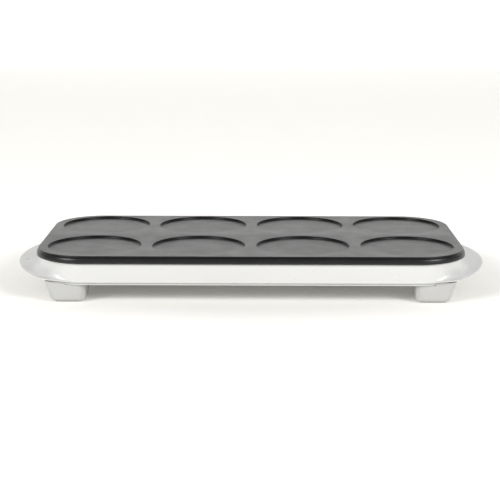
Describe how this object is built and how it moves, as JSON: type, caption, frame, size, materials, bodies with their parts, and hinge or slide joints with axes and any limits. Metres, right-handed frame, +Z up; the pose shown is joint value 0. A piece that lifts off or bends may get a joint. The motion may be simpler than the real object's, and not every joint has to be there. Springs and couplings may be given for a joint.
{
  "type": "electric griddle",
  "caption": "Low electric griddle: lift-off dark plate with round pancake recesses on a white housing with a flat handle at each end and block feet.",
  "frame": {"origin": "on the table, under the middle of the griddle", "axes": "+X along the griddle towards its right-hand handle, +Y towards its rear where the cord entry and switch are, +Z up"},
  "size_m": [0.532, 0.234, 0.054],
  "materials": {
    "non_stick_coating": "cast aluminium with a dark grey satin non-stick coating",
    "white_plastic": "white moulded polypropylene, semi-gloss",
    "foot_rubber": "grey silicone",
    "screw_steel": "zinc plated",
    "element_sheath": "oxidised stainless sheath",
    "reflector_steel": "aluminised sheet",
    "bracket_steel": "plain pressed steel",
    "ceramic_bead": "unglazed",
    "thermostat_ceramic": "unglazed body, aluminium cap",
    "terminal_block_plastic": "moulded",
    "grey_plastic": "moulded, fine texture",
    "rocker_plastic": "polished",
    "live_insulation": "silicone wire",
    "neutral_insulation": "silicone wire",
    "earth_insulation": "silicone wire",
    "fuse_sleeve": "woven glass sleeve",
    "brass": "plain"
  },
  "bodies": {
    "base": {"housing": "white_plastic", "base_cover": "white_plastic", "foot_front_left": "white_plastic", "foot_pad_front_left": "foot_rubber", "foot_screw_front_left": "screw_steel", "foot_front_right": "white_plastic", "foot_pad_front_right": "foot_rubber", "foot_screw_front_right": "screw_steel", "foot_rear_left": "white_plastic", "foot_pad_rear_left": "foot_rubber", "foot_screw_rear_left": "screw_steel", "foot_rear_right": "white_plastic", "foot_pad_rear_right": "foot_rubber", "foot_screw_rear_right": "screw_steel", "heat_reflector": "reflector_steel", "heating_element": "element_sheath", "element_clip_rear_1": "bracket_steel", "element_clip_front_1": "bracket_steel", "element_clip_rear_2": "bracket_steel", "element_clip_front_2": "bracket_steel", "element_clip_rear_3": "bracket_steel", "element_clip_front_3": "bracket_steel", "terminal_bead_front": "ceramic_bead", "terminal_pin_front": "bracket_steel", "terminal_bead_rear": "ceramic_bead", "terminal_pin_rear": "bracket_steel", "reflector_screw_front_left": "screw_steel", "reflector_screw_front_right": "screw_steel", "reflector_screw_rear_left": "screw_steel", "reflector_screw_rear_right": "screw_steel", "thermostat": "thermostat_ceramic", "thermostat_bracket": "bracket_steel", "cord_gland": "grey_plastic", "cord_clamp": "grey_plastic", "clamp_screw_left": "screw_steel", "clamp_screw_right": "screw_steel", "terminal_block": "terminal_block_plastic", "switch_body": "grey_plastic", "wire_live": "live_insulation", "wire_switched": "live_insulation", "wire_heater": "live_insulation", "wire_neutral": "neutral_insulation", "wire_neutral_fused": "neutral_insulation", "wire_earth": "earth_insulation", "thermal_fuse": "fuse_sleeve", "earth_screw": "brass"},
    "plate": {"griddle_plate": "non_stick_coating"},
    "rocker": {"switch_rocker": "rocker_plastic"}
  },
  "joints": [
    {"name": "plate_lift", "type": "slide", "parent": "base", "child": "plate", "axis": [0, 0, 1], "range_m": [0, 0.06]},
    {"name": "switch_rock", "type": "hinge", "parent": "base", "child": "rocker", "pos_m": [0.1155, 0.1118, 0.0367], "axis": [0, 0, 1], "range_deg": [0, 24]}
  ]
}
